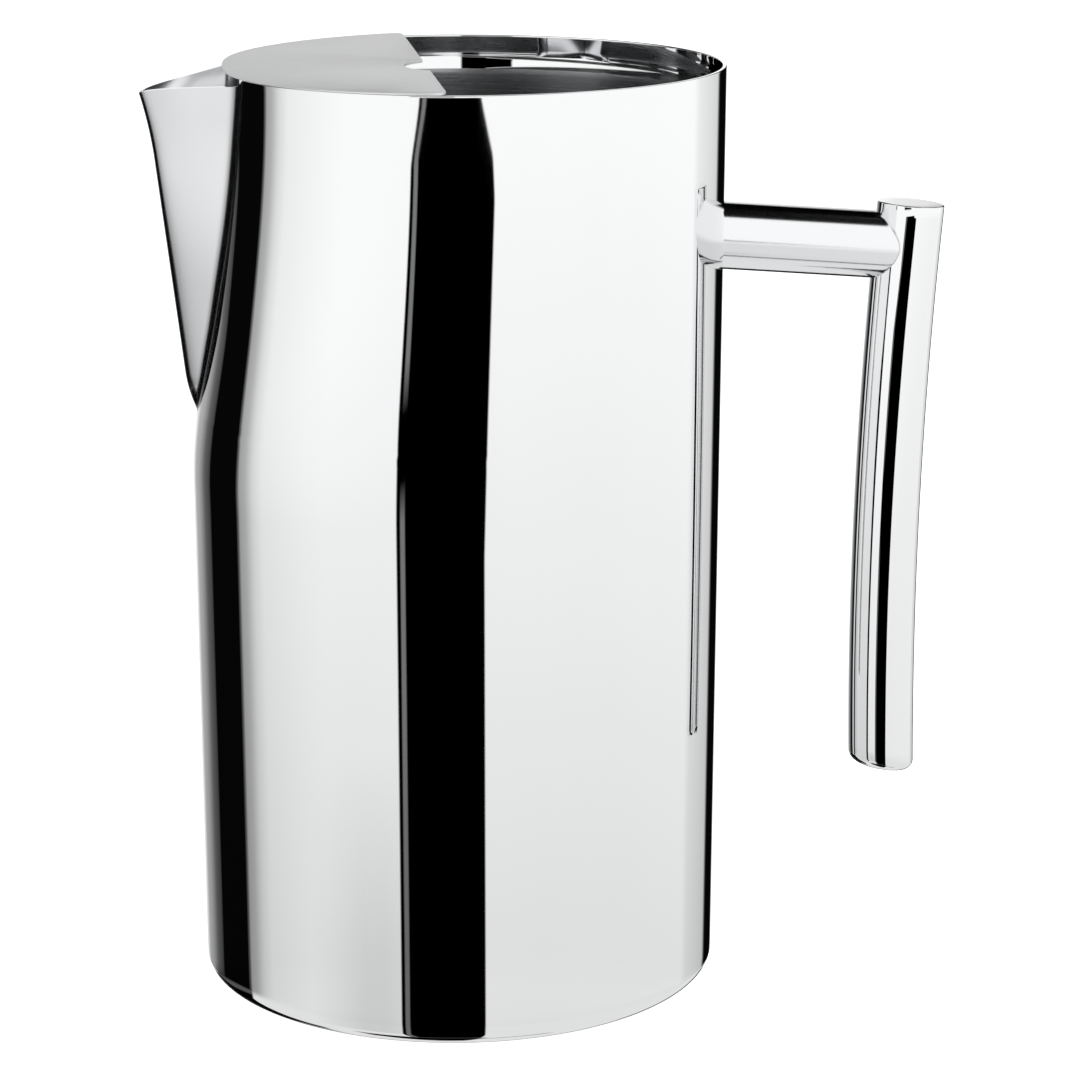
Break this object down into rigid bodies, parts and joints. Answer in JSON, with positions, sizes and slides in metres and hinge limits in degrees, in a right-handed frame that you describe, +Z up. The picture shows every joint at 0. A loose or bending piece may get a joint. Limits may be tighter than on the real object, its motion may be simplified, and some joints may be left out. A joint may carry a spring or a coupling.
{
  "type": "water pitcher",
  "caption": "Straight-sided polished steel water pitcher with a folded V spout, a fixed ice guard over the spout half of the mouth and an open two-tube handle.",
  "frame": {"origin": "on the body's axis, in the plane of the base", "axes": "+Z up along the body's axis, +X from the axis towards the handle, -X towards the spout"},
  "size_m": [0.1682, 0.112, 0.1946],
  "materials": {
    "mirror_steel": "mirror-polished stainless sheet",
    "satin_steel": "fine satin",
    "handle_steel": "mirror-polished stainless tube"
  },
  "bodies": {
    "root": {"body_shell": "mirror_steel", "spout": "mirror_steel", "ice_guard": "satin_steel", "handle_arm": "handle_steel", "arm_weld": "handle_steel", "handle_grip": "handle_steel", "grip_top_cap": "handle_steel", "grip_bottom_cap": "handle_steel"}
  },
  "joints": []
}
